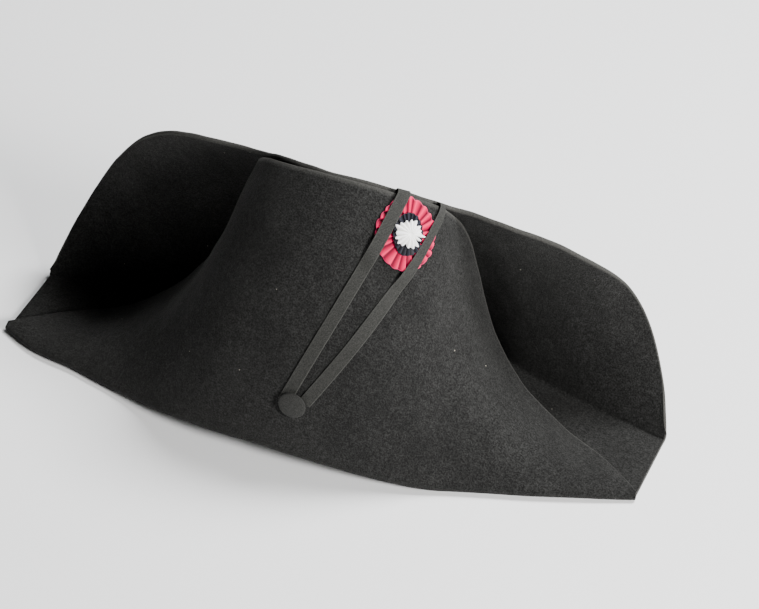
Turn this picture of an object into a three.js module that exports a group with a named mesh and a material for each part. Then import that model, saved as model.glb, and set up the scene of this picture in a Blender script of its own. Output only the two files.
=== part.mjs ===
// A bicorne hat: one moulded felt, a round crown whose wide brim is folded up at the front and
// the back, with two ribbon loop straps, a covered button and a three-layer ribbon cockade.
// Millimetres, +Z up. +X runs along the hat's long axis, -Y is the front, and the hat stands on
// the folded edges of its brim.
import * as THREE from 'three';

// Felt sheet
const feltThickness = 3;
const foldRadius = 3.5;
const endFold = { radius: 2, fromX: 185, toX: 228 };
const halfLength = 228;
const floorGapUnderMiddleLayer = feltThickness / 2;

// Crown, as an ellipse at its foot and a rounded dome above
const crown = {
  halfWidth: 82,
  halfDepth: 91,
  middleY: 2,
  height: 105,
  footRadius: 4.5,
  wallPower: 1.1,
};

// Sections of the two flaps, from the hat's middle to its end. Each row is one section: where it
// leaves the fold, the point that it leans towards, and where it ends on the cut edge.
const sectionColumns = ['foldX', 'foldY', 'leanX', 'leanY', 'leanZ', 'edgeX', 'edgeY', 'edgeZ'];
const frontSections = [
  [0, -96.5, 0, -99.7, 118.8, 0, -16.9, 186.5],
  [45, -94, 46.1, -90.7, 115.5, 37.2, -8.6, 179.5],
  [84, -86.5, 78.1, -63.8, 107.6, 62.5, 10, 163.8],
  [114, -76, 90.2, -44.1, 93, 74.3, 29.9, 136.7],
  [138, -68, 102.4, -38, 71.2, 84.3, 33.4, 106.2],
  [160, -61, 120.8, -35.6, 47.3, 102, 22.6, 66.1],
  [182, -53, 149.9, -37.8, 27.1, 129.2, 12.7, 32.5],
  [203, -45, 186.7, -40.2, 14.9, 161.2, 6.9, 10.1],
  [218, -39, 212.5, -37, 9.9, 196.5, -9.8, 6.2],
  [227.5, -35, 227.5, -34.7, 5.4, 227.5, -33.3, 5.6],
];
const backSections = [
  [0, 102, 0, 90, 99, 0, -11.9, 184.3],
  [45, 97, 46, 84, 102, 40, -1.7, 177.3],
  [80, 83, 82, 73, 103, 70.2, 23.6, 157.2],
  [110, 67.5, 116, 67, 103, 106.2, 28.8, 152],
  [138, 57, 146, 66, 88, 138.1, 37.6, 141.8],
  [164, 49, 170, 66, 67.9, 165.4, 48.2, 122.9],
  [187, 42.5, 189, 62, 47.6, 185.8, 60.5, 97.4],
  [206, 37.5, 206, 53, 29.2, 201.2, 63.7, 69.2],
  [219, 34, 219, 42, 13.6, 216.3, 53.4, 35.7],
  [228, 32, 228, 33, 5.4, 228, 33.5, 5.6],
];
const leanShare = 0.6;

// Where the two halves of the worn felt differ
const leftStretch = 1.012;
const leftStretchHeight = 40;
const leftHollow = { across: 0.5, halfWidth: 0.45, leanX: 10.1, leanY: -4.1, edgeX: 4.2, edgeZ: 1.9 };
const cornerBow = { out: 5, x: -203, halfWidth: 40 };
const foldLift = { height: 12, x: -18, halfWidth: 124, power: 1.4, fullY: -80, endY: -10 };
const slant = { front: 0.018, back: 0.045, fromZ: 100, toZ: 150 };

// Mesh steps
const flapColumns = 34;
const endColumns = 3;
const foldRows = 3;
const flapRows = 11;
const stripRows = 3;
const footRows = 2;
const crownRows = 7;
const smallStep = 1e-3;

// How the crown's foot is shared out among the columns that start on the folds
const footSpread = 0.94;
const footGathering = 2.7;

// Trimmings
const pieceGap = 0.3;
const strapWidth = 8.6;
const strapThickness = 1;
const strapInsideGap = 0.9;
const strapHidden = 0.09;
const strapStart = 0.215;
const strapSteps = { outside: 24, turn: 6, inside: 4 };
const strapPlaces = {
  left: [-0.002, 0.0325, 0.0665, 0.0998, 0.1295],
  right: [0.0285, 0.08, 0.1325, 0.187, 0.23],
};
const button = {
  across: 0.0121, up: 0.208, radius: 9.6, edge: 1.5, dome: 1.1, sides: 24, tiltDegrees: 7,
};
const buttonShoulder = { radius: 0.6, height: 0.7 };
const cockade = { across: 0.1545, up: 0.8667, clear: 3, ramp: 14 };
const redRuffle = {
  inner: 8, outer: 24.6, squeeze: 0.86, thickness: 1.2, wave: 0.5, pleats: 26, rings: 3,
};
const blueRuffle = {
  inner: 6, outer: 12, squeeze: 0.76, thickness: 1, wave: 0.4, pleats: 24, rings: 2,
};
const whiteRosette = {
  inner: 0, outer: 9.6, squeeze: 0.95, thickness: 1.2, dome: 2.6, pleats: 12, wave: 0.5, rings: 4,
};

const { lerp, smoothstep } = THREE.MathUtils;

// Smooth curve through table rows
function hermite(before, start, end, after, u) {
  const leave = (end - before) / 2;
  const arrive = (after - start) / 2;
  const u2 = u * u;
  const u3 = u2 * u;
  return (2 * u3 - 3 * u2 + 1) * start + (u3 - 2 * u2 + u) * leave
    + (3 * u2 - 2 * u3) * end + (u3 - u2) * arrive;
}

// One section of a flap: across is -1 at the left end, 0 in the middle and 1 at the right end
function sectionAt(rows, across) {
  const last = rows.length - 1;
  const place = Math.abs(across) * last;
  const row = Math.min(Math.floor(place), last - 1);
  const side = across < 0 ? -1 : 1;
  const section = {};
  sectionColumns.forEach((name, k) => {
    const mirror = name.endsWith('X') ? -1 : 1;
    const before = row === 0 ? mirror * rows[1][k] : rows[row - 1][k];
    const after = row + 2 > last ? 2 * rows[last][k] - rows[last - 1][k] : rows[row + 2][k];
    const value = hermite(before, rows[row][k], rows[row + 1][k], after, place - row);
    section[name] = mirror < 0 ? side * value : value;
  });
  return section;
}

// How far the front fold and what stands on it is clear of the floor
function liftAt(x, y) {
  const along = Math.max(0, 1 - ((x - foldLift.x) / foldLift.halfWidth) ** 2);
  const towardsFront = smoothstep(-y, -foldLift.endY, -foldLift.fullY);
  return foldLift.height * along ** foldLift.power * towardsFront;
}

function slantAt(amount, x, z) {
  return amount * x * smoothstep(z, slant.fromZ, slant.toZ);
}

// The front flap's section, with the left half longer and hollower and its corner bowed out
function frontSectionAt(across) {
  const section = sectionAt(frontSections, across);
  if (across < 0) {
    section.foldX *= leftStretch;
    section.leanX *= leftStretch;
    section.edgeX *= leftStretch;
    const apart = (-across - leftHollow.across) / leftHollow.halfWidth;
    const hollow = Math.max(0, 1 - apart * apart) ** 2;
    ['leanX', 'leanY', 'edgeX', 'edgeZ'].forEach((name) => {
      section[name] += leftHollow[name] * hollow;
    });
  }
  const bowed = Math.max(0, 1 - ((section.foldX - cornerBow.x) / cornerBow.halfWidth) ** 2);
  section.foldY -= cornerBow.out * bowed ** 2;
  section.leanY -= cornerBow.out * bowed ** 2;
  section.slope = slant.front;
  section.outward = -1;
  return section;
}

// The back flap's section, with the left ear standing out a little more
function backSectionAt(across) {
  const section = sectionAt(backSections, across);
  if (across < 0) {
    const stretch = lerp(1, leftStretch, smoothstep(section.edgeZ, 0, leftStretchHeight));
    section.foldX *= stretch;
    section.leanX *= stretch;
    section.edgeX *= stretch;
  }
  section.slope = slant.back;
  section.outward = 1;
  return section;
}

// The fold is pressed flatter towards the hat's ends
function foldRadiusAt(x) {
  return lerp(foldRadius, endFold.radius, smoothstep(Math.abs(x), endFold.fromX, endFold.toX));
}

// Level direction pointing out of the hat, square to the fold
function foldOutward(sectionOf, across) {
  const ahead = sectionOf(Math.min(1, across + smallStep));
  const behind = sectionOf(Math.max(-1, across - smallStep));
  const along = new THREE.Vector2(ahead.foldX - behind.foldX, ahead.foldY - behind.foldY).normalize();
  return new THREE.Vector2(-along.y, along.x).multiplyScalar(ahead.outward);
}

// A point of a flap's middle layer: up is -1 where the fold leaves the floor, 0 at the fold's
// outermost line and 1 at the cut edge. Below 0 it is a quarter of a circle, above it a cubic.
function flapPoint(sectionOf, across, up) {
  const section = sectionOf(across);
  const radius = foldRadiusAt(section.foldX);
  const foldZ = liftAt(section.foldX, section.foldY) + floorGapUnderMiddleLayer + radius;
  if (up < 0) {
    const angle = up * Math.PI / 2;
    const outward = foldOutward(sectionOf, across).multiplyScalar(radius * (Math.cos(angle) - 1));
    return new THREE.Vector3(
      section.foldX + outward.x,
      section.foldY + outward.y,
      foldZ + radius * Math.sin(angle),
    );
  }
  const fold = new THREE.Vector3(section.foldX, section.foldY, foldZ);
  const edgeZ = section.edgeZ - slantAt(section.slope, section.edgeX, section.edgeZ);
  const leanZ = section.leanZ - slantAt(section.slope, section.leanX, section.edgeZ);
  const edge = new THREE.Vector3(section.edgeX, section.edgeY, edgeZ);
  const lean = new THREE.Vector3(section.leanX, section.leanY, leanZ);
  const leaveFold = fold.clone().lerp(lean, leanShare);
  const meetEdge = edge.clone().lerp(lean, leanShare);
  const down = 1 - up;
  return fold.multiplyScalar(down ** 3)
    .addScaledVector(leaveFold, 3 * down * down * up)
    .addScaledVector(meetEdge, 3 * down * up * up)
    .addScaledVector(edge, up ** 3);
}

const frontPoint = (across, up) => flapPoint(frontSectionAt, across, up);
const backPoint = (across, up) => flapPoint(backSectionAt, across, up);

// A sheet of numbered points joined by four-sided and three-sided faces
function newSheet() {
  return { points: [], faces: [] };
}

function addRow(sheet, points) {
  const first = sheet.points.length;
  sheet.points.push(...points);
  return points.map((_, k) => first + k);
}

function joinRows(sheet, lower, upper, closed) {
  const count = closed ? lower.length : lower.length - 1;
  for (let k = 0; k < count; k += 1) {
    const next = (k + 1) % lower.length;
    sheet.faces.push([lower[k], lower[next], upper[next]], [lower[k], upper[next], upper[k]]);
  }
}

function steps(count, from, to) {
  return Array.from({ length: count + 1 }, (_, k) => lerp(from, to, k / count));
}

// The closed line where the flat underside turns up: the front fold, the right end, the back
// fold and the left end
function underside() {
  const front = steps(flapColumns, -1, 1).map((across) => frontPoint(across, -1));
  const back = steps(flapColumns, 1, -1).map((across) => backPoint(across, -1));
  const between = (a, b) => steps(endColumns, 0, 1).slice(1, -1).map((u) => a.clone().lerp(b, u));
  return {
    front,
    right: between(front.at(-1), back[0]),
    back,
    left: between(back.at(-1), front[0]),
  };
}

// Where each column of the underside meets the crown's foot, as a point on the unit circle
function footDirections(line) {
  const onFold = (point, side) => {
    const share = Math.min(1, Math.abs(point.x) / halfLength);
    const x = Math.sign(point.x) * footSpread * (1 - (1 - share) ** footGathering);
    return new THREE.Vector2(x, side * Math.sqrt(1 - x * x));
  };
  const endY = Math.sqrt(1 - footSpread ** 2);
  const onEnd = (side) => steps(endColumns, -1, 1).slice(1, -1)
    .map((u) => new THREE.Vector2(side * Math.sqrt(1 - (endY * u) ** 2), side * endY * u));
  return [
    ...line.front.map((point) => onFold(point, -1)),
    ...onEnd(1),
    ...line.back.map((point) => onFold(point, 1)),
    ...onEnd(-1),
  ];
}

// Crown and the flat strip round it, from the underside's line in to the top
function addCrown(sheet, line, lineRow) {
  const feet = footDirections(line).map((unit) => {
    const wall = new THREE.Vector2(unit.x * crown.halfWidth, unit.y * crown.halfDepth);
    const out = new THREE.Vector2(unit.x / crown.halfWidth, unit.y / crown.halfDepth).normalize();
    const floor = liftAt(wall.x, wall.y + crown.middleY) + floorGapUnderMiddleLayer;
    return { wall, out, floor };
  });
  const outline = [...line.front, ...line.right, ...line.back, ...line.left];
  const rows = [];
  steps(stripRows, 0, 1).slice(1).forEach((u) => {
    rows.push(feet.map(({ wall, out }, k) => {
      const x = lerp(outline[k].x, wall.x + out.x * crown.footRadius, u);
      const y = lerp(outline[k].y, wall.y + crown.middleY + out.y * crown.footRadius, u);
      return new THREE.Vector3(x, y, liftAt(x, y) + floorGapUnderMiddleLayer);
    }));
  });
  steps(footRows, 0, Math.PI / 2).slice(1).forEach((angle) => {
    const inset = crown.footRadius * (1 - Math.sin(angle));
    const rise = crown.footRadius * (1 - Math.cos(angle));
    rows.push(feet.map(({ wall, out, floor }) => new THREE.Vector3(
      wall.x + out.x * inset,
      wall.y + crown.middleY + out.y * inset,
      floor + rise,
    )));
  });
  steps(crownRows, 0, Math.PI / 2).slice(1, -1).forEach((angle) => {
    const shrink = Math.cos(angle) ** crown.wallPower;
    const climb = Math.sin(angle);
    rows.push(feet.map(({ wall, floor }) => new THREE.Vector3(
      wall.x * shrink,
      wall.y * shrink + crown.middleY,
      lerp(floor + crown.footRadius, crown.height, climb),
    )));
  });
  let lower = lineRow;
  rows.forEach((points) => {
    const upper = addRow(sheet, points);
    joinRows(sheet, lower, upper, true);
    lower = upper;
  });
  const [top] = addRow(sheet, [new THREE.Vector3(0, crown.middleY, crown.height)]);
  lower.forEach((point, k) => sheet.faces.push([point, lower[(k + 1) % lower.length], top]));
}

// A flap, from its columns on the underside's line out to its cut edge
function addFlap(sheet, lineColumns, pointAt, from, to) {
  const ups = [...steps(foldRows, -1, 0).slice(1), ...steps(flapRows, 0, 1).slice(1)];
  let inner = lineColumns;
  ups.forEach((up) => {
    const outer = addRow(sheet, steps(flapColumns, from, to).map((across) => pointAt(across, up)));
    joinRows(sheet, outer, inner, false);
    inner = outer;
  });
}

// A closed wall from a sheet: two copies half the thickness apart on each side, and a rim that
// joins them along every edge that only one face has
function thicken(sheet, thickness) {
  const normals = sheet.points.map(() => new THREE.Vector3());
  const side = new THREE.Vector3();
  const other = new THREE.Vector3();
  const edges = new Map();
  sheet.faces.forEach(([a, b, c]) => {
    side.subVectors(sheet.points[b], sheet.points[a]);
    other.subVectors(sheet.points[c], sheet.points[a]);
    const normal = side.clone().cross(other);
    [a, b, c].forEach((point) => normals[point].add(normal));
    [[a, b], [b, c], [c, a]].forEach(([from, to]) => {
      if (!edges.delete(`${to},${from}`)) {
        edges.set(`${from},${to}`, [from, to]);
      }
    });
  });
  normals.forEach((normal) => normal.setLength(thickness / 2));
  const upper = sheet.points.map((point, k) => point.clone().add(normals[k]));
  const lower = sheet.points.map((point, k) => point.clone().sub(normals[k]));
  const count = sheet.points.length;
  const index = [];
  sheet.faces.forEach(([a, b, c]) => index.push(a, b, c, a + count, c + count, b + count));
  edges.forEach(([from, to]) => {
    index.push(to, from, from + count, to, from + count, to + count);
  });
  return solidFrom([...upper, ...lower], index);
}

function solidFrom(points, index) {
  const geometry = new THREE.BufferGeometry().setFromPoints(points);
  geometry.setIndex(index);
  geometry.computeVertexNormals();
  return geometry;
}

function feltBody() {
  const sheet = newSheet();
  const line = underside();
  const lineRow = addRow(sheet, [...line.front, ...line.right, ...line.back, ...line.left]);
  const frontColumns = lineRow.slice(0, line.front.length);
  const backStart = line.front.length + line.right.length;
  const backColumns = lineRow.slice(backStart, backStart + line.back.length);
  addCrown(sheet, line, lineRow);
  addFlap(sheet, frontColumns, frontPoint, -1, 1);
  addFlap(sheet, backColumns, backPoint, 1, -1);
  return thicken(sheet, feltThickness);
}

// The front flap's outer face at a spot, with its normal and the two directions along it
function frontFace(across, up) {
  const point = frontPoint(across, up);
  const sideways = frontPoint(across + smallStep, up)
    .sub(frontPoint(across - smallStep, up))
    .divideScalar(2 * smallStep);
  const upward = frontPoint(across, up + smallStep)
    .sub(frontPoint(across, up - smallStep))
    .divideScalar(2 * smallStep);
  const normal = sideways.clone().cross(upward).normalize();
  const face = point.clone().addScaledVector(normal, feltThickness / 2);
  return { point, sideways, upward, normal, face };
}

// A flat patch laid over the front flap: x and y are measured in the plane that touches the flap
// at the patch's middle, and the height is measured along the flap's own normal
function flapPatch(across, up) {
  const middle = frontFace(across, up);
  const axisX = middle.sideways.clone().normalize();
  const axisY = middle.normal.clone().cross(axisX);
  const rounds = 6;
  return (x, y, height) => {
    let place = { across, up };
    let spot = middle;
    for (let round = 0; round < rounds; round += 1) {
      const offset = spot.point.clone().sub(middle.point);
      const missX = x - offset.dot(axisX);
      const missY = y - offset.dot(axisY);
      const [a, b] = [spot.sideways.dot(axisX), spot.upward.dot(axisX)];
      const [c, d] = [spot.sideways.dot(axisY), spot.upward.dot(axisY)];
      const area = a * d - b * c;
      place = {
        across: place.across + (missX * d - missY * b) / area,
        up: place.up + (missY * a - missX * c) / area,
      };
      spot = frontFace(place.across, place.up);
    }
    return spot.face.clone().addScaledVector(spot.normal, height);
  };
}

// How far across the flap a strap's middle is, from its places at equal steps up the flap
function strapAcross(places, up) {
  const last = places.length - 1;
  const place = last * (up - strapStart) / (1 - strapStart);
  const k = Math.min(Math.max(Math.floor(place), 0), last - 1);
  const before = places[k - 1] ?? 2 * places[0] - places[1];
  const after = places[k + 2] ?? 2 * places[last] - places[last - 1];
  return hermite(before, places[k], places[k + 1], after, place - k);
}

// The spot of the flap under a strap's middle or one of its two sides
function strapSpot(places, up, side) {
  const middle = strapAcross(places, up);
  const spot = frontFace(middle, up);
  const drift = (strapAcross(places, up + smallStep) - strapAcross(places, up - smallStep))
    / (2 * smallStep);
  const along = spot.upward.clone().addScaledVector(spot.sideways, drift).normalize();
  const square = along.cross(spot.normal);
  return frontFace(middle + side * strapWidth / 2 / spot.sideways.dot(square), up);
}

// Height of a strap's middle layer over the flap's: raised where it crosses the red ruffle
function strapHeight(spot) {
  const ruffleTop = redRuffle.thickness + 2 * redRuffle.wave + pieceGap;
  const cockadeMiddle = frontFace(cockade.across, cockade.up).point;
  const distance = spot.point.distanceTo(cockadeMiddle);
  const level = redRuffle.outer + cockade.clear;
  const raised = 1 - smoothstep(distance, level, redRuffle.outer + cockade.ramp);
  return feltThickness / 2 + pieceGap + strapThickness / 2 + ruffleTop * raised;
}

// A ribbon strap up the front flap, then over the cut edge and a little way down behind it
function loopStrap(places) {
  const inner = feltThickness / 2 + strapInsideGap + strapThickness / 2;
  const sides = [-1, 0, 1];
  const outside = steps(strapSteps.outside, strapStart, 1).map((up) => sides.map((side) => {
    const spot = strapSpot(places, up, side);
    return spot.point.clone().addScaledVector(spot.normal, strapHeight(spot));
  }));
  const turn = steps(strapSteps.turn, 0, Math.PI).slice(1).map((angle) => sides.map((side) => {
    const spot = strapSpot(places, 1, side);
    const outer = strapHeight(spot);
    const turnRadius = (outer + inner) / 2;
    return spot.point.clone()
      .addScaledVector(spot.normal, (outer - inner) / 2 + turnRadius * Math.cos(angle))
      .addScaledVector(spot.upward.clone().normalize(), turnRadius * Math.sin(angle));
  }));
  const insideUps = steps(strapSteps.inside, 1, 1 - strapHidden).slice(1);
  const inside = insideUps.map((up) => sides.map((side) => {
    const spot = strapSpot(places, up, side);
    return spot.point.clone().addScaledVector(spot.normal, -inner);
  }));
  const sheet = newSheet();
  const numbered = [...outside, ...turn, ...inside].map((points) => addRow(sheet, points));
  for (let k = 0; k + 1 < numbered.length; k += 1) {
    joinRows(sheet, numbered[k], numbered[k + 1], false);
  }
  return thicken(sheet, strapThickness);
}

// A round layer of the cockade: its upper face waves with the pleats, its lower face lies on
// what is below, and an open middle leaves a ring. The squeeze makes it narrower across the flap.
function roundLayer(layer, restHeight, crestAt) {
  const patch = flapPatch(cockade.across, cockade.up);
  const around = steps(2 * layer.pleats, 0, 2 * Math.PI).slice(0, -1);
  const ring = (radius, heightOf) => around.map((angle, k) => patch(
    layer.squeeze * radius * Math.cos(angle),
    radius * Math.sin(angle),
    heightOf(k),
  ));
  const isRing = layer.inner > 0;
  const radii = steps(layer.rings, layer.inner, layer.outer).slice(isRing ? 0 : 1);
  const upper = radii.map((radius) => ring(radius, (k) => restHeight + crestAt(radius, k)));
  const lower = radii.reverse().map((radius) => ring(radius, () => restHeight));
  const sheet = newSheet();
  const numbered = [...upper, ...lower].map((points) => addRow(sheet, points));
  for (let k = 0; k + 1 < numbered.length; k += 1) {
    joinRows(sheet, numbered[k + 1], numbered[k], true);
  }
  if (isRing) {
    joinRows(sheet, numbered[0], numbered.at(-1), true);
  } else {
    capRow(sheet, numbered[0], patch(0, 0, restHeight + crestAt(0, 0)));
    capRow(sheet, numbered.at(-1).reverse(), patch(0, 0, restHeight));
  }
  return solidFrom(sheet.points, sheet.faces.flat());
}

// A fan of triangles from a closed row to one point
function capRow(sheet, row, point) {
  const [tip] = addRow(sheet, [point]);
  row.forEach((a, k) => sheet.faces.push([a, row[(k + 1) % row.length], tip]));
}

// A ring of ribbon whose pleats rise and fall by its wave
function ruffle(layer, restHeight) {
  const crestAt = (_, k) => layer.thickness + layer.wave * (k % 2 === 0 ? 2 : 0);
  return roundLayer(layer, restHeight, crestAt);
}

// The domed middle, with a notched rim
function rosette(layer, restHeight) {
  const crestAt = (radius, k) => {
    const share = radius / layer.outer;
    const notch = k % 2 === 0 ? 0 : layer.wave * share;
    return layer.thickness + layer.dome * (1 - share * share) - notch;
  };
  return roundLayer(layer, restHeight, crestAt);
}

// The covered button's outline, turned about its own axis
function coveredButton() {
  const { radius, edge, dome, sides } = button;
  const bevel = edge / 3;
  const outline = [
    [0, 0],
    [radius - bevel, 0],
    [radius, bevel],
    [radius, edge - bevel],
    [radius - bevel, edge],
    [radius * buttonShoulder.radius, edge + dome * buttonShoulder.height],
    [0, edge + dome],
  ].map(([r, h]) => new THREE.Vector2(r, h));
  return new THREE.LatheGeometry(outline, sides);
}

// The straps lie under the button's upper half, so its face tips a little towards the floor
function placeButton(mesh) {
  const spot = frontFace(button.across, button.up);
  const standOff = 2 * pieceGap + strapThickness;
  const tilt = THREE.MathUtils.degToRad(button.tiltDegrees);
  const facing = spot.normal.clone().applyAxisAngle(spot.sideways.clone().normalize(), tilt);
  mesh.quaternion.setFromUnitVectors(new THREE.Vector3(0, 1, 0), facing);
  mesh.position.copy(spot.face).addScaledVector(spot.normal, standOff);
}

function piece(name, geometry, color, roughness) {
  const material = new THREE.MeshStandardMaterial({ color, roughness, metalness: 0 });
  const mesh = new THREE.Mesh(geometry, material);
  mesh.name = name;
  return mesh;
}

const redRest = pieceGap;
const blueRest = redRest + redRuffle.thickness + 2 * redRuffle.wave + pieceGap;
const whiteRest = blueRest + blueRuffle.thickness + 2 * blueRuffle.wave + pieceGap;

const felt = piece('felt_body', feltBody(), 0x2b2a28, 0.95);
const coverButton = piece('cover_button', coveredButton(), 0x43423f, 0.85);
placeButton(coverButton);

const hat = new THREE.Group();
hat.add(
  felt,
  piece('loop_strap_left', loopStrap(strapPlaces.left), 0x4c4b47, 0.8),
  piece('loop_strap_right', loopStrap(strapPlaces.right), 0x4c4b47, 0.8),
  coverButton,
  piece('cockade_red_ruffle', ruffle(redRuffle, redRest), 0xe4406b, 0.6),
  piece('cockade_blue_ruffle', ruffle(blueRuffle, blueRest), 0x2a2c3c, 0.5),
  piece('cockade_white_rosette', rosette(whiteRosette, whiteRest), 0xf4f2ec, 0.7),
);

// The origin is the middle of the base, on the surface that the hat stands on
const box = new THREE.Box3().setFromObject(hat, true);
hat.position.set(-(box.min.x + box.max.x) / 2, -(box.min.y + box.max.y) / 2, -box.min.z);

export default hat;
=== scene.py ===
# %% [markdown]
# # A felt hat with two folded flaps
# The hat is one disc of wool felt. A round crown is moulded up in its middle, and the wide brim
# is folded up at the front and at the back, so that it makes a boat shape with two long wings.
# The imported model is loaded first, because every piece here takes its place from it.

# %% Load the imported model
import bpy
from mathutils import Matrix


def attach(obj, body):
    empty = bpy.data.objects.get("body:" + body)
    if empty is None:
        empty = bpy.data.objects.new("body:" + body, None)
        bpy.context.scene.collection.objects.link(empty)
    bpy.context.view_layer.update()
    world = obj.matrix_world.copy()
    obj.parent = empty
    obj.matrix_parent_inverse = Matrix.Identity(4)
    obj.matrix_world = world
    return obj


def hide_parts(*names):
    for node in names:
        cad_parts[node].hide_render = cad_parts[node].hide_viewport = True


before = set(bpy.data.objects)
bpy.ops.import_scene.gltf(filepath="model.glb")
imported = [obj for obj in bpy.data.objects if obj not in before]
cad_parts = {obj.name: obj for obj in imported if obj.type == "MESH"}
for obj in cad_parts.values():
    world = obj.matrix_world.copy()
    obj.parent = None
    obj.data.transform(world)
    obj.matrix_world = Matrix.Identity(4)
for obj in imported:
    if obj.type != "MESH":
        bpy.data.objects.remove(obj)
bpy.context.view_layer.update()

import math
import bpy
import numpy as np
from mathutils import Matrix, Vector

MM = 0.001
print("nodes:", sorted(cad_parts))

# %% [markdown]
# ## The felt's shape
# Real felt is blocked over a wooden form with steam, so it has no seams and every curve is
# smooth. Cloth simulation would give it folds that it doesn't have. Instead each flap is a
# surface made from a short table of sections: where the section leaves the fold, the point it
# leans towards and where it ends on the cut edge. The tables hold half the hat, in millimetres.
# The whole shape is then moved by a fixed step, so that the middle of its base is the origin.

# %% Section tables
COLUMNS = ["fold_x", "fold_y", "lean_x", "lean_y", "lean_z", "edge_x", "edge_y", "edge_z"]
FRONT_SECTIONS = np.array([
    [0, -96.5, 0, -99.7, 118.8, 0, -16.9, 186.5],
    [45, -94, 46.1, -90.7, 115.5, 37.2, -8.6, 179.5],
    [84, -86.5, 78.1, -63.8, 107.6, 62.5, 10, 163.8],
    [114, -76, 90.2, -44.1, 93, 74.3, 29.9, 136.7],
    [138, -68, 102.4, -38, 71.2, 84.3, 33.4, 106.2],
    [160, -61, 120.8, -35.6, 47.3, 102, 22.6, 66.1],
    [182, -53, 149.9, -37.8, 27.1, 129.2, 12.7, 32.5],
    [203, -45, 186.7, -40.2, 14.9, 161.2, 6.9, 10.1],
    [218, -39, 212.5, -37, 9.9, 196.5, -9.8, 6.2],
    [227.5, -35, 227.5, -34.7, 5.4, 227.5, -33.3, 5.6],
])
BACK_SECTIONS = np.array([
    [0, 102, 0, 90, 99, 0, -11.9, 184.3],
    [45, 97, 46, 84, 102, 40, -1.7, 177.3],
    [80, 83, 82, 73, 103, 70.2, 23.6, 157.2],
    [110, 67.5, 116, 67, 103, 106.2, 28.8, 152],
    [138, 57, 146, 66, 88, 138.1, 37.6, 141.8],
    [164, 49, 170, 66, 67.9, 165.4, 48.2, 122.9],
    [187, 42.5, 189, 62, 47.6, 185.8, 60.5, 97.4],
    [206, 37.5, 206, 53, 29.2, 201.2, 63.7, 69.2],
    [219, 34, 219, 42, 13.6, 216.3, 53.4, 35.7],
    [228, 32, 228, 33, 5.4, 228, 33.5, 5.6],
])
FELT_THICKNESS = 3.0
FOLD_RADIUS = 3.5
END_FOLD_RADIUS = 2.0
HALF_LENGTH = 228.0
LEAN_SHARE = 0.6
LEFT_STRETCH = 1.012
LEFT_HOLLOW = {"lean_x": 10.1, "lean_y": -4.1, "edge_x": 4.2, "edge_z": 1.9}
LEFT_BOW = {"depth": 5, "x": -203, "half_width": 40}
FRONT_LEAN, BACK_LEAN = 0.018, 0.045
ARCH = {"height": 12, "x": -18, "half_width": 124, "power": 1.4}
MODEL_SHIFT = np.array([1.274, -2.200, 0.0])
SMALL_STEP = 1e-3
print("sections in each half:", len(FRONT_SECTIONS), "front,", len(BACK_SECTIONS), "back")


# %% Small curve helpers
def smoothstep(value, low, high):
    """0 below low and 1 above high, with a cubic ease 3u^2 - 2u^3 between them."""
    u = np.clip((value - low) / (high - low), 0, 1)
    return u * u * (3 - 2 * u)


def sections_at(table, across):
    """Cubic Hermite curve through the table's rows: each row's tangent is half the step from
    the row before to the row after. The row before the middle is its mirror image."""
    mirror = np.array([-1 if name.endswith("x") else 1 for name in COLUMNS])
    padded = np.vstack([table[1] * mirror, table, 2 * table[-1] - table[-2]])
    last = len(table) - 1
    place = np.abs(across) * last
    row = np.clip(np.floor(place).astype(int), 0, last - 1)
    u = (place - row)[:, None]
    before, start, end, after = (padded[row + k] for k in range(4))
    value = ((2 * u**3 - 3 * u**2 + 1) * start + (u**3 - 2 * u**2 + u) * (end - before) / 2
             + (3 * u**2 - 2 * u**3) * end + (u**3 - u**2) * (after - start) / 2)
    value = value * np.where((across < 0)[:, None] & (mirror < 0), -1, 1)
    return {name: value[:, k] for k, name in enumerate(COLUMNS)}


def floor_lift(x, y):
    """Height of the arched front fold above the table: (1 - u^2)^1.4 along the fold, fading to
    nothing towards the hat's middle."""
    along = np.clip(1 - ((x - ARCH["x"]) / ARCH["half_width"]) ** 2, 0, None)
    return ARCH["height"] * along ** ARCH["power"] * smoothstep(-y, 10, 80)


# %% [markdown]
# ## Where the worn felt isn't even
# The left half stands a little longer and hollower than the right, its lower corner bows out,
# and both flaps' top edges lean by a degree or two. These small differences are what makes the
# outline look like a used hat and not a drawing. The folds are pressed flatter at both ends.

# %% Front and back sections with their differences
def front_sections(across):
    """The front table's sections, the top edge's lean and the side that it faces. The left half
    is longer, its corner bows outwards by (1 - u^2)^2, with u the distance from x = -203 over
    40 mm, and its flank is hollower in the same way, with u the distance from halfway."""
    section = sections_at(FRONT_SECTIONS, across)
    for name in ("fold_x", "lean_x", "edge_x"):
        section[name] = section[name] * np.where(across < 0, LEFT_STRETCH, 1)
    hollow = np.clip(1 - ((across + 0.5) / 0.45) ** 2, 0, None) ** 2
    for name, depth in LEFT_HOLLOW.items():
        section[name] = section[name] + depth * hollow * (across < 0)
    away = (section["fold_x"] - LEFT_BOW["x"]) / LEFT_BOW["half_width"]
    bow = LEFT_BOW["depth"] * np.clip(1 - away**2, 0, None) ** 2
    section["fold_y"] = section["fold_y"] - bow
    section["lean_y"] = section["lean_y"] - bow
    return section, FRONT_LEAN, -1


def back_sections(across):
    """The back table's sections, with the left ear standing out further above the table."""
    section = sections_at(BACK_SECTIONS, across)
    ear = 1 + (LEFT_STRETCH - 1) * smoothstep(section["edge_z"], 0, 40)
    for name in ("fold_x", "lean_x", "edge_x"):
        section[name] = section[name] * np.where(across < 0, ear, 1)
    return section, BACK_LEAN, 1


def fold_radius(x):
    """Radius of the folds: 3.5 mm along most of the hat, easing to 2 mm at the two ends."""
    return FOLD_RADIUS + (END_FOLD_RADIUS - FOLD_RADIUS) * smoothstep(np.abs(x), 185, 228)


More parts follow.
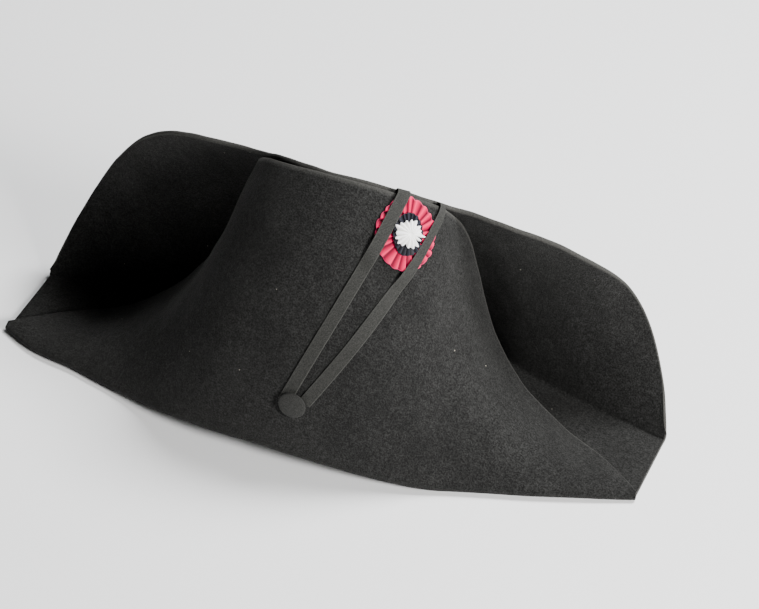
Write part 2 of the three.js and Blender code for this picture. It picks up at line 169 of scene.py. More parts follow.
def flap_points(sections, across, up):
    """A flap's middle layer. up from -1 to 0 is a quarter circle round the fold, and up from 0
    to 1 is a cubic Bezier from the fold to the cut edge, pulled towards the lean point."""
    across, up = np.broadcast_arrays(np.asarray(across, float), np.asarray(up, float))
    shape = across.shape
    across, up = across.ravel(), up.ravel()
    section, slope, outward = sections(across)
    ahead = sections(np.minimum(1, across + SMALL_STEP))[0]
    behind = sections(np.maximum(-1, across - SMALL_STEP))[0]
    tangent = np.stack([ahead["fold_x"] - behind["fold_x"], ahead["fold_y"] - behind["fold_y"]], 1)
    tangent /= np.linalg.norm(tangent, axis=1)[:, None]
    out = outward * np.stack([-tangent[:, 1], tangent[:, 0]], 1)
    lift = floor_lift(section["fold_x"], section["fold_y"])
    radius = fold_radius(section["fold_x"])
    fold_z = lift + FELT_THICKNESS / 2 + radius
    fold = np.stack([section["fold_x"], section["fold_y"], fold_z], 1)
    tilt = slope * smoothstep(section["edge_z"], 100, 150)
    edge_z = section["edge_z"] - tilt * section["edge_x"]
    lean_z = section["lean_z"] - tilt * section["lean_x"]
    edge = np.stack([section["edge_x"], section["edge_y"], edge_z], 1)
    lean = np.stack([section["lean_x"], section["lean_y"], lean_z], 1)
    leave = fold + LEAN_SHARE * (lean - fold)
    meet = edge + LEAN_SHARE * (lean - edge)
    t = np.clip(up, 0, None)[:, None]
    curve = ((1 - t)**3 * fold + 3 * (1 - t)**2 * t * leave
             + 3 * (1 - t) * t**2 * meet + t**3 * edge)
    angle = np.clip(up, -1, 0) * np.pi / 2
    turn = radius * (np.cos(angle) - 1)
    arc = fold + np.stack([out[:, 0] * turn, out[:, 1] * turn, radius * np.sin(angle)], 1)
    points = np.where((up < 0)[:, None], arc, curve)
    return points.reshape(shape + (3,))


print("front edge's middle:", flap_points(front_sections, 0.0, 1.0).round(1))


# %% [markdown]
# ## The felt sheet
# The sheet is worked out as rows of points: the line where the flat underside turns up, then
# inwards over the strip and the crown, and outwards over both flaps. All rows share their
# points, so the whole felt is one skin with one cut edge.

# %% Rows of the underside and the crown
FLAP_COLUMNS = 176
END_COLUMNS = 14
CROWN_HALF = np.array([82.0, 91.0])
CROWN_MIDDLE_Y = 2.0
CROWN_HEIGHT = 105.0
CROWN_SIDE_POWER = 1.1
FOOT_RADIUS = 4.5
FOOT_SPREAD = 0.94
FOOT_POWER = 2.7


def underside_line():
    """The closed line round the flat underside: front fold, right end, back fold, left end."""
    along = np.linspace(-1, 1, FLAP_COLUMNS + 1)
    front = flap_points(front_sections, along, -1.0)
    back = flap_points(back_sections, along[::-1], -1.0)
    share = np.linspace(0, 1, END_COLUMNS + 1)[1:-1, None]
    right = front[-1] + share * (back[0] - front[-1])
    left = back[-1] + share * (front[0] - back[-1])
    return front, right, back, left


def foot_directions(front, right, back, left):
    """The point of the unit circle that each column meets: x grows as 1 - (1 - u)^2.7, with u
    the share of the half length, so that the columns gather at the crown's ends."""
    def on_fold(points, side):
        share = np.clip(np.abs(points[:, 0]) / HALF_LENGTH, 0, 1)
        x = np.sign(points[:, 0]) * FOOT_SPREAD * (1 - (1 - share) ** FOOT_POWER)
        return np.stack([x, side * np.sqrt(1 - x * x)], 1)

    def on_end(side):
        y = side * math.sqrt(1 - FOOT_SPREAD**2) * np.linspace(-1, 1, END_COLUMNS + 1)[1:-1]
        return np.stack([side * np.sqrt(1 - y * y), y], 1)

    return np.vstack([on_fold(front, -1), on_end(1), on_fold(back, 1), on_end(-1)])


def crown_rows():
    """Rows from the underside's line to just below the crown's top: a flat strip, a quarter
    circle at the foot, then a dome whose width is cos^1.1 and whose height is sin."""
    front, right, back, left = underside_line()
    line = np.vstack([front, right, back, left])
    unit = foot_directions(front, right, back, left)
    wall = unit * CROWN_HALF
    out = unit / CROWN_HALF
    out /= np.linalg.norm(out, axis=1)[:, None]
    centre = np.array([0, CROWN_MIDDLE_Y])
    base = FELT_THICKNESS / 2
    floor = floor_lift(wall[:, 0], wall[:, 1] + CROWN_MIDDLE_Y) + base
    rows = []
    for u in np.linspace(0, 1, 13)[1:]:
        flat = (1 - u) * line[:, :2] + u * (wall + out * FOOT_RADIUS + centre)
        rows.append(np.column_stack([flat, floor_lift(flat[:, 0], flat[:, 1]) + base]))
    for angle in np.linspace(0, np.pi / 2, 6)[1:]:
        flat = wall + centre + out * FOOT_RADIUS * (1 - math.sin(angle))
        rows.append(np.column_stack([flat, floor + FOOT_RADIUS * (1 - math.cos(angle))]))
    for angle in np.linspace(0, np.pi / 2, 27)[1:-1]:
        flat = wall * math.cos(angle) ** CROWN_SIDE_POWER + centre
        foot = floor + FOOT_RADIUS
        rows.append(np.column_stack([flat, foot + (CROWN_HEIGHT - foot) * math.sin(angle)]))
    return line, rows


# %% Join the rows into one skin
EDGE_STARTS = 0.982


def felt_skin():
    """Points and faces of the felt's middle layer, and how near each point is to a cut edge."""
    line, rows = crown_rows()
    points = [line]
    quads = []
    count = len(line)
    ring = np.arange(count)
    lower = ring
    for row in rows:
        upper = np.arange(count) + sum(map(len, points))
        points.append(row)
        after = np.roll(np.arange(count), -1)
        quads.append(np.stack([lower, lower[after], upper[after], upper], 1))
        lower = upper
    top = sum(map(len, points))
    points.append(np.array([[0, CROWN_MIDDLE_Y, CROWN_HEIGHT]]))
    after = np.roll(np.arange(count), -1)
    caps = np.stack([lower, lower[after], np.full(count, top)], 1)
    edge = [np.zeros(top + 1)]
    ups = np.concatenate([np.linspace(-1, 0, 7)[1:], np.linspace(0, 1, 57)[1:]])
    back_start = FLAP_COLUMNS + 1 + END_COLUMNS - 1
    flaps = [(front_sections, ring[:FLAP_COLUMNS + 1], 1),
             (back_sections, ring[back_start:back_start + FLAP_COLUMNS + 1], -1)]
    for sections, inner, direction in flaps:
        across = np.linspace(-direction, direction, FLAP_COLUMNS + 1)
        for up in ups:
            outer = np.arange(len(across)) + sum(map(len, points))
            points.append(flap_points(sections, across, up))
            edge.append(np.full(len(across), smoothstep(up, EDGE_STARTS, 1.0)))
            quads.append(np.stack([outer[:-1], outer[1:], inner[1:], inner[:-1]], 1))
            inner = outer
    return np.vstack(points), np.vstack(quads), caps, np.concatenate(edge)


skin_points, skin_quads, skin_caps, skin_edge = felt_skin()
print("felt's middle layer:", len(skin_points), "points")


# %% [markdown]
# ## Handmade unevenness
# Steam-blocked felt is never quite even. A few slow waves, less than a millimetre high, are
# added along the sheet's own direction outwards, so that the light doesn't run over it as over
# plastic. The waves are sums of sines with fixed phases, so they come out the same every time.

# %% Slow waves and their directions
def slow_waves(points, length, seed):
    """Sum of six sine waves in fixed directions, with wavelengths near length, from -1 to 1."""
    source = np.random.default_rng(seed)
    directions = source.normal(size=(6, 3))
    directions /= np.linalg.norm(directions, axis=1)[:, None]
    waves = 2 * np.pi / (length * source.uniform(0.7, 1.5, 6))
    phases = source.uniform(0, 2 * np.pi, 6)
    return np.sin(points @ directions.T * waves + phases).mean(axis=1) * 1.6


def point_normals(points, quads, caps):
    """Each point's normal: the sum of its faces' normals, weighted by their areas."""
    triangles = np.vstack([quads[:, [0, 1, 2]], quads[:, [0, 2, 3]], caps])
    corners = points[triangles]
    faces = np.cross(corners[:, 1] - corners[:, 0], corners[:, 2] - corners[:, 0])
    normals = np.zeros_like(points)
    for corner in range(3):
        np.add.at(normals, triangles[:, corner], faces)
    return normals / np.linalg.norm(normals, axis=1)[:, None]


# %% [markdown]
# ## From a skin to a wall
# The skin becomes a 3 mm wall: a copy half the thickness to each side, and a rim round the cut
# edge. Shears leave a blunt, slightly furry edge, so the rim bulges a little instead of being
# flat. Every point keeps how near it is to the cut edge, for the felt's material.

# %% Wall, rim and mesh
RIM_BULGE = 0.7


def boundary_edges(quads, caps):
    """Directed edges that only one face has, as pairs of point numbers."""
    edges = np.vstack([quads[:, [0, 1]], quads[:, [1, 2]], quads[:, [2, 3]], quads[:, [3, 0]],
                       caps[:, [0, 1]], caps[:, [1, 2]], caps[:, [2, 0]]])
    size = edges.max() + 1
    keys = edges[:, 0].astype(np.int64) * size + edges[:, 1]
    twins = edges[:, 1].astype(np.int64) * size + edges[:, 0]
    return edges[~np.isin(keys, twins)]


def make_mesh(name, points, faces, smooth=True):
    """A mesh from points in millimetres of the model's own frame, and lists of point numbers."""
    mesh = bpy.data.meshes.new(name)
    metres = (points + MODEL_SHIFT) * MM
    mesh.from_pydata(metres.tolist(), [], [list(map(int, face)) for face in faces])
    mesh.polygons.foreach_set("use_smooth", np.full(len(mesh.polygons), smooth))
    mesh.update()
    piece = bpy.data.objects.new(name, mesh)
    bpy.context.scene.collection.objects.link(piece)
    return piece


def add_attribute(piece, name, values):
    """Store one number for each point of the mesh, for its material to read."""
    layer = piece.data.attributes.new(name, "FLOAT", "POINT")
    layer.data.foreach_set("value", np.asarray(values, np.float32))


def felt_wall(points, quads, caps, edge, thickness):
    """Upper and lower copies of the skin, and rim rows on a half ellipse round the cut edge."""
    normals = point_normals(points, quads, caps)
    count = len(points)
    parts = [points + normals * thickness / 2, points - normals * thickness / 2]
    marks = [edge, edge]
    faces = list(quads) + [face[::-1] for face in quads + count]
    faces += list(caps) + [face[::-1] for face in caps + count]
    loop = boundary_edges(quads, caps)
    rim, where = np.unique(loop, return_inverse=True)
    where = where.reshape(loop.shape)
    along = np.zeros((len(rim), 3))
    step = points[loop[:, 1]] - points[loop[:, 0]]
    np.add.at(along, where[:, 0], step)
    np.add.at(along, where[:, 1], step)
    outwards = np.cross(along, normals[rim])
    outwards /= np.linalg.norm(outwards, axis=1)[:, None]
    previous = rim
    base = 2 * count
    angles = np.linspace(0, np.pi, 6)[1:-1]
    for angle in angles:
        parts.append(points[rim] + normals[rim] * math.cos(angle) * thickness / 2
                     + outwards * math.sin(angle) * RIM_BULGE)
        marks.append(np.ones(len(rim)))
        current = base + np.arange(len(rim))
        first = previous[where[:, 0]]
        second = previous[where[:, 1]]
        faces += list(np.stack([second, first, current[where[:, 0]], current[where[:, 1]]], 1))
        previous = current
        base += len(rim)
    first = previous[where[:, 0]]
    second = previous[where[:, 1]]
    faces += list(np.stack([second, first, loop[:, 0] + count, loop[:, 1] + count], 1))
    return np.vstack(parts), faces, np.concatenate(marks)


skin_normals = point_normals(skin_points, skin_quads, skin_caps)
rest = smoothstep(skin_points[:, 2], 3, 20)
waves = 0.45 * slow_waves(skin_points, 45, 3) + 0.3 * slow_waves(skin_points, 22, 5)
waved_points = skin_points + skin_normals * (waves * rest)[:, None]
wall_points, wall_faces, wall_edge = felt_wall(
    waved_points, skin_quads, skin_caps, skin_edge, FELT_THICKNESS)
felt = make_mesh("felt_hat", wall_points, wall_faces)
add_attribute(felt, "cut_edge", wall_edge)
print("felt:", len(wall_points), "points,", len(wall_faces), "faces")


# %% [markdown]
# ## A flat patch on the front flap
# The cockade is made flat and then sewn to a curved flap. To lay it there, a spot of the flap
# is found for each flat position (x, y): Newton's method moves along the flap until the spot's
# place in the plane that touches the flap at the cockade's middle is (x, y).

# %% The front flap's outer face
def front_face(across, up):
    """Point of the front flap's middle layer, its two directions and its outward normal."""
    point = flap_points(front_sections, across, up)
    side = (flap_points(front_sections, across + SMALL_STEP, up)
            - flap_points(front_sections, across - SMALL_STEP, up)) / (2 * SMALL_STEP)
    rise = (flap_points(front_sections, across, up + SMALL_STEP)
            - flap_points(front_sections, across, up - SMALL_STEP)) / (2 * SMALL_STEP)
    normal = np.cross(side, rise)
    normal /= np.linalg.norm(normal, axis=-1)[..., None]
    return point, side, rise, normal


def on_flap(across, up, x, y, height):
    """Points at x, y in the touching plane at (across, up), height above the outer face."""
    middle, side, rise, normal = front_face(np.array([across]), np.array([up]))
    axis_x = side[0] / np.linalg.norm(side[0])
    axis_y = np.cross(normal[0], axis_x)
    x, y, height = np.broadcast_arrays(x, y, height)
    s = np.full(x.size, float(across))
    t = np.full(x.size, float(up))
    for _ in range(7):
        point, side, rise, normal = front_face(s, t)
        miss_x = x.ravel() - (point - middle[0]) @ axis_x
        miss_y = y.ravel() - (point - middle[0]) @ axis_y
        a, b = side @ axis_x, rise @ axis_x
        c, d = side @ axis_y, rise @ axis_y
        area = a * d - b * c
        s = s + (miss_x * d - miss_y * b) / area
        t = t + (miss_y * a - miss_x * c) / area
    point, side, rise, normal = front_face(s, t)
    placed = point + normal * (FELT_THICKNESS / 2 + height.ravel())[:, None]
    return placed.reshape(x.shape + (3,))


COCKADE = (0.1545, 0.8667)
print("cockade's middle:", on_flap(*COCKADE, 0.0, 0.0, 0.0).round(1))


# %% [markdown]
# ## Pleated ribbon
# A cockade is ribbon laid in knife pleats round a circle. In each pleat the ribbon climbs
# slowly, folds over and drops back under the next one. In height that is a saw tooth round the
# circle, steep on one side. The folds are tight at the middle and open towards the rim, where
# each one ends in a short straight run, so that the rim is a polygon and not a circle.

# %% A ring of knife pleats
def pleated_ring(inner, outer, squeeze, pleats, depth, lift, fall, seed, per_pleat=8, rows=15):
    """Ring of ribbon. The height climbs by depth over 80 percent of each pleat and drops over
    the rest, and the whole ring falls by fall from its middle to its rim. The pleats wander by
    a fixed random part of their width, and squeeze narrows the ring across the flap."""
    source = np.random.default_rng(seed)
    shape = np.linspace(0, 1, per_pleat, endpoint=False)
    starts = np.arange(pleats) + source.uniform(-0.16, 0.16, pleats)
    ends = np.roll(starts, -1)
    ends[-1] += pleats
    angle = (starts[:, None] + (ends - starts)[:, None] * shape).ravel() * 2 * np.pi / pleats
    climb = np.where(shape < 0.8, shape / 0.8, (1 - shape) / 0.2)
    heights = source.uniform(0.75, 1.25, pleats)
    saw = (climb * heights[:, None]).ravel()
    share = np.linspace(0, 1, rows)[:, None]
    bulge = 1 - 0.035 * (2 * np.abs(shape - 0.4)) ** 2
    lengths = source.uniform(0.975, 1.02, pleats)
    rim = (bulge * lengths[:, None]).ravel()
    radius = inner + (outer * (1 + (rim - 1) * share**2) - inner) * share
    height = lift + depth * saw * (0.35 + 0.65 * share) - fall * share**2
    across = squeeze * radius * np.cos(angle)
    return across, radius * np.sin(angle), height, share + 0 * saw, 0 * share + saw


def ribbon_ring(name, ring, thickness):
    """Lay a pleated ring on the flap and give it the ribbon's thickness."""
    x, y, height, share, saw = ring
    rows, columns = x.shape
    upper = on_flap(*COCKADE, x, y, height + thickness)
    lower = on_flap(*COCKADE, x, y, height)
    number = np.arange(rows * columns).reshape(rows, columns)
    after = np.roll(number, -1, axis=1)
    top = np.stack([number[:-1], number[1:], after[1:], after[:-1]], -1).reshape(-1, 4)
    bottom = top[:, ::-1] + rows * columns
    shift = rows * columns
    outer = np.stack([number[-1], number[-1] + shift, after[-1] + shift, after[-1]], -1)
    inner = np.stack([number[0], after[0], after[0] + shift, number[0] + shift], -1)
    points = np.vstack([upper.reshape(-1, 3), lower.reshape(-1, 3)])
    piece = make_mesh(name, points, np.vstack([top, bottom, outer, inner]))
    add_attribute(piece, "rim", np.tile(share.ravel(), 2))
    add_attribute(piece, "fold", np.tile(saw.ravel(), 2))
    return piece


red = ribbon_ring("red_pleats", pleated_ring(7.0, 24.6, 0.86, 22, 1.5, 0.35, 0.1, 11), 0.4)
navy = ribbon_ring("navy_pleats", pleated_ring(5.5, 14.2, 0.715, 20, 1.2, 2.9, 0.5, 12), 0.35)
print("pleated rings:", len(red.data.polygons), "and", len(navy.data.polygons), "faces")


# %% [markdown]
# ## The white middle
# The middle is a short length of white ribbon drawn up on a thread through one edge, so it
# gathers into a soft puckered disc with a ragged rim. It is a low dome with radial gathers
# that deepen outwards, a small dimple where the thread is pulled tight, and three notches in
# the rim where the ribbon's folds part.

# %% Gathered rosette
DISC_BASE = 4.5
DISC_LIFT = 4.75
DOME_HEIGHT = 2.4
DIMPLE_DEPTH = 0.8
NOTCHES = [(-0.2, 0.45), (-0.62, 0.4), (0.35, 0.25)]


def gathered_disc(outer, squeeze, gathers, seed, rows=22, per_gather=8):
    """Dome 1 - r^2.4 with a dimple at the middle, gathers as a cosine round the circle, and
    notches in the rim, each exp(-(angle away / 0.1)^2). Each notch has an angle and a depth."""
    source = np.random.default_rng(seed)
    columns = gathers * per_gather
    angle = np.arange(columns) * 2 * np.pi / columns
    wander = sum(source.uniform(0.2, 0.5) * np.sin(k * angle + source.uniform(0, 6))
                 for k in (2, 3, 5, 7))
    wave = np.cos(gathers * angle + wander)
    lengths = 1 + 0.09 * wave + 0.07 * np.sin(5 * angle + 1) + 0.05 * np.sin(9 * angle + 2)
    for middle, depth in NOTCHES:
        away = np.angle(np.exp(1j * (angle - middle)))
        lengths -= depth * np.exp(-(away / 0.1) ** 2)
    share = np.linspace(0, 1, rows)[1:, None]
    radius = outer * share * (1 + (lengths - 1) * share)
    dome = DOME_HEIGHT * (1 - share**2.4) - DIMPLE_DEPTH * np.exp(-(share / 0.16) ** 2)
    height = DISC_LIFT + dome + 0.45 * wave * share**0.8
    across = squeeze * radius * np.cos(angle)
    return across, radius * np.sin(angle), height, share + 0 * wave, wave + 0 * share


def gathered_rosette(name, disc):
    """Close the gathered disc with a middle point on top and a flat disc below."""
    x, y, height, share, wave = disc
    rows, columns = x.shape
    top = on_flap(*COCKADE, x, y, height)
    under = on_flap(*COCKADE, x[[-1]] * 0.97, y[[-1]] * 0.97, np.full((1, columns), DISC_BASE))
    middle_height = DISC_LIFT + DOME_HEIGHT - DIMPLE_DEPTH
    poles = np.array([on_flap(*COCKADE, 0.0, 0.0, middle_height).reshape(3),
                      on_flap(*COCKADE, 0.0, 0.0, DISC_BASE).reshape(3)])
    number = np.arange(rows * columns).reshape(rows, columns)
    after = np.roll(number, -1, axis=1)
    faces = np.stack([number[:-1], number[1:], after[1:], after[:-1]], -1).reshape(-1, 4).tolist()
    low = np.arange(columns) + rows * columns
    low_after = np.roll(low, -1)
    faces += np.stack([number[-1], low, low_after, after[-1]], -1).tolist()
    tip = (rows + 1) * columns
    faces += np.stack([number[0], after[0], np.full(columns, tip)], -1).tolist()
    faces += np.stack([low_after, low, np.full(columns, tip + 1)], -1).tolist()
    points = np.vstack([top.reshape(-1, 3), under.reshape(-1, 3), poles])
    piece = make_mesh(name, points, faces)
    add_attribute(piece, "rim", np.concatenate([share.ravel(), np.ones(columns), [0, 0]]))
    add_attribute(piece, "fold", np.concatenate([wave.ravel(), np.zeros(columns + 2)]))
    return piece


white = gathered_rosette("white_rosette", gathered_disc(8.6, 1.08, 16, 21))
print("rosette:", len(white.data.polygons), "faces")


# %% [markdown]
# ## Ribbon straps
# Each strap is a narrow grosgrain ribbon, 8.6 mm wide. It starts under the button, climbs over
# the cockade's red pleats, turns over the flap's cut edge and ends behind it. Its middle is
# given at five equal steps up the flap, in the flap's own coordinates, so it follows the felt's
# curve. The right strap turns a little edge-on beside the cockade, which a narrower band shows
# well enough. Its two selvedges are a little raised, and its width carries fine ribs.

# %% Straps along the flap
STRAP_WIDTH = 8.6
STRAP_THICKNESS = 0.8
STRAP_HIDDEN = 0.09
STRAP_START = 0.215
LEFT_PLACES = np.array([-0.002, 0.0325, 0.0665, 0.0998, 0.1295])
RIGHT_PLACES = np.array([0.0285, 0.08, 0.1325, 0.187, 0.23])
STRAP_GAP = 0.3
STRAP_INSIDE_GAP = 0.9
RUFFLE_TOP = 2.5
RAMP_FROM, RAMP_TO = 26.5, 38.0
LEFT_TAPER, RIGHT_TAPER = 0.05, 0.32


def strap_across(places, up):
    """Cubic Hermite curve through the places, as the section tables use."""
    padded = np.concatenate([[2 * places[0] - places[1]], places, [2 * places[-1] - places[-2]]])
    place = (len(places) - 1) * (up - STRAP_START) / (1 - STRAP_START)
    row = np.clip(np.floor(place).astype(int), 0, len(places) - 2)
    u = place - row
    before, start, end, after = (padded[row + k] for k in range(4))
    return ((2 * u**3 - 3 * u**2 + 1) * start + (u**3 - 2 * u**2 + u) * (end - before) / 2
            + (3 * u**2 - 2 * u**3) * end + (u**3 - u**2) * (after - start) / 2)


def strap_rows(places, widths, taper):
    """Rows of points across the strap: outside up the flap, a half turn over the cut edge and
    inside down again. The height over the felt eases from 0.3 mm to the ruffle's top. The
    taper is the share of the width that is lost on the upper half of the flap."""
    middle_of_cockade = front_face(np.array([COCKADE[0]]), np.array([COCKADE[1]]))[0][0]

    def place(up, side):
        """Point, upward direction and normal at this height and share of the half width."""
        middle = strap_across(places, up)
        above = strap_across(places, up + SMALL_STEP)
        drift = (above - strap_across(places, up - SMALL_STEP)) / (2 * SMALL_STEP)
        point, sideways, rise, normal = front_face(middle, up)
        along = rise + sideways * drift[..., None]
        along /= np.linalg.norm(along, axis=-1)[..., None]
        square = np.cross(along, normal)
        half_width = STRAP_WIDTH / 2 * (1 - taper * smoothstep(up, 0.55, 0.9))
        reach = side * half_width / (sideways * square).sum(-1)
        return front_face(middle + reach, up)

    def raised(point):
        distance = np.linalg.norm(point - middle_of_cockade, axis=-1)
        over = 1 - smoothstep(distance, RAMP_FROM, RAMP_TO)
        return FELT_THICKNESS / 2 + STRAP_GAP + STRAP_THICKNESS / 2 + RUFFLE_TOP * over

    inner = FELT_THICKNESS / 2 + STRAP_INSIDE_GAP + STRAP_THICKNESS / 2
    ups, sides = np.meshgrid(np.linspace(STRAP_START, 1, 150), widths, indexing="ij")
    point, _, _, normal = place(ups, sides)
    outside = point + normal * raised(point)[..., None]
    turns, sides = np.meshgrid(np.linspace(0, np.pi, 19)[1:], widths, indexing="ij")
    point, _, rise, normal = place(np.ones_like(turns), sides)
    outer = raised(point)
    radius = (outer + inner) / 2
    rise = rise / np.linalg.norm(rise, axis=-1)[..., None]
    over = (point + normal * ((outer - inner) / 2 + radius * np.cos(turns))[..., None]
            + rise * (radius * np.sin(turns))[..., None])
    ups, sides = np.meshgrid(np.linspace(1, 1 - STRAP_HIDDEN, 25)[1:], widths, indexing="ij")
    point, _, _, normal = place(ups, sides)
    inside = point - normal * inner
    return np.concatenate([outside, over, inside])


def ribbon_strap(name, rows, widths):
    """Slab of ribbon from its middle layer, with its selvedges a little thicker."""
    count, columns = rows.shape[:2]
    along = np.gradient(rows, axis=0)
    sideways = np.gradient(rows, axis=1)
    normal = np.cross(sideways, along)
    normal /= np.linalg.norm(normal, axis=-1)[..., None]
    reach = np.abs(widths)
    selvedge = smoothstep(reach, 0.8, 0.92) * (1 - smoothstep(reach, 0.94, 1.0))
    half = STRAP_THICKNESS / 2 * (0.82 + 0.18 * selvedge - 0.35 * smoothstep(reach, 0.95, 1))
    upper = rows + normal * half[None, :, None]
    lower = rows - normal * half[None, :, None]
    number = np.arange(count * columns).reshape(count, columns)
    shift = count * columns
    a, b, c, d = number[:-1, :-1], number[:-1, 1:], number[1:, 1:], number[1:, :-1]
    top = np.stack([a, b, c, d], -1).reshape(-1, 4)
    bottom = top[:, ::-1] + shift
    loop = np.concatenate([number[0], number[1:, -1], number[-1, -2::-1], number[-2:0:-1, 0]])
    ahead = np.roll(loop, -1)
    rim = np.stack([ahead, loop, loop + shift, ahead + shift], -1)
    points = np.vstack([upper.reshape(-1, 3), lower.reshape(-1, 3)])
    piece = make_mesh(name, points, np.vstack([top, bottom, rim]))
    length = np.cumsum(np.linalg.norm(np.diff(rows[:, columns // 2], axis=0), axis=1))
    length = np.concatenate([[0], length])
    add_attribute(piece, "along", np.tile(np.repeat(length, columns), 2))
    add_attribute(piece, "side", np.tile(np.tile(widths, count), 2))
    return piece, length[-1]


widths = np.array([-1, -0.97, -0.93, -0.86, -0.78, -0.5, 0, 0.5, 0.78, 0.86, 0.93, 0.97, 1])
left_rows = strap_rows(LEFT_PLACES, widths, LEFT_TAPER)
right_rows = strap_rows(RIGHT_PLACES, widths, RIGHT_TAPER)
left_strap, left_length = ribbon_strap("left_strap", left_rows, widths)
right_strap, right_length = ribbon_strap("right_strap", right_rows, widths)
print("straps:", round(left_length), "mm and", round(right_length), "mm long")


# %% [markdown]
# ## The covered button
# A metal shell is pressed over a circle of cloth, so the face is a low smooth dome and the cloth
# is drawn in tight round its edge, where it puckers. It is a lathe form with small radial
# puckers that are strongest at the edge and fade before the face. It stands on the straps and
# sags a little towards the table.

# %% Button
BUTTON = (0.0121, 0.208)
BUTTON_TILT = math.radians(7)
BUTTON_GAP = 0.6
STRAP_BED = 1.0
PUCKERS = 28


def button_surface(sides=96):
    """Lathe profile of radius and height, with 28 puckers round the turned edge."""
    profile = np.array([[0, 0], [5, 0], [8.3, 0.0], [9.2, 0.2], [9.55, 0.55], [9.6, 0.9],
                        [9.4, 1.3], [8.9, 1.62], [8.0, 1.92], [6.4, 2.2], [4.5, 2.42],
                        [2.4, 2.56], [0, 2.6]])
    fine = np.linspace(0, len(profile) - 1, 49)
    radius = np.interp(fine, np.arange(len(profile)), profile[:, 0])
    height = np.interp(fine, np.arange(len(profile)), profile[:, 1])
    angle = np.arange(sides) * 2 * np.pi / sides
    pucker = 0.12 * np.sin(PUCKERS * angle + 1.3 * np.sin(3 * angle))
    strength = np.exp(-((height - 0.6) / 0.7) ** 2) * (radius > 8)
    reach = radius[:, None] + strength[:, None] * pucker
    return reach * np.cos(angle), reach * np.sin(angle), height[:, None] + 0 * angle


def covered_button(name):
    """Stand the lathe form on the straps, tipped 7 degrees towards the floor."""
    x, y, height = button_surface()
    point, side, rise, normal = front_face(np.array([BUTTON[0]]), np.array([BUTTON[1]]))
    axis_x = side[0] / np.linalg.norm(side[0])
    upwards = np.cross(normal[0], axis_x)
    facing = math.cos(BUTTON_TILT) * normal[0] - math.sin(BUTTON_TILT) * upwards
    axis_y = np.cross(facing, axis_x)
    stand = FELT_THICKNESS / 2 + BUTTON_GAP + STRAP_BED
    placed = (point[0] + stand * normal[0] + x[..., None] * axis_x + y[..., None] * axis_y
              + height[..., None] * facing)
    rows, columns = x.shape
    body = placed[1:-1].reshape(-1, 3)
    number = np.arange((rows - 2) * columns).reshape(rows - 2, columns)
    after = np.roll(number, -1, axis=1)
    faces = np.stack([number[:-1], after[:-1], after[1:], number[1:]], -1).reshape(-1, 4).tolist()
    low, high = len(body), len(body) + 1
    faces += np.stack([after[0], number[0], np.full(columns, low)], -1).tolist()
    faces += np.stack([number[-1], after[-1], np.full(columns, high)], -1).tolist()
    points = np.vstack([body, placed[0, 0], placed[-1, 0]])
    return make_mesh(name, points, faces)


button = covered_button("cloth_button")
print("button:", len(button.data.polygons), "faces")


# %% [markdown]
# ## Colours and nodes
# Colours are written as they look on a screen, in hex, and turned to linear light once. One
# small function adds a node, sets its inputs and links what feeds it.

# %% Node helper
def linear(hex_colour):
    """sRGB hex to linear: c / 12.92 below 0.04045, else ((c + 0.055) / 1.055)^2.4."""
    channels = [int(hex_colour[k:k + 2], 16) / 255 for k in (1, 3, 5)]
    return [c / 12.92 if c <= 0.04045 else ((c + 0.055) / 1.055) ** 2.4 for c in channels] + [1.0]


def add(tree, kind, settings=None, **inputs):
    """Add a node. Settings go to the node itself; inputs are values or sockets to link."""
    node = tree.nodes.new(kind)
    for key, value in (settings or {}).items():
        setattr(node, key, value)
    for key, value in inputs.items():
        name = int(key[1:]) if key[0] == "i" and key[1:].isdigit() else key.replace("_", " ")
        socket = node.inputs[name]
        if isinstance(value, bpy.types.NodeSocket):
            tree.links.new(value, socket)
        else:
            socket.default_value = value
    return node


def new_material(name):
    """An empty node tree with its output."""
    material = bpy.data.materials.new(name)
    material.use_nodes = True
    tree = material.node_tree
    tree.nodes.clear()
    return material, tree, tree.nodes.new("ShaderNodeOutputMaterial")
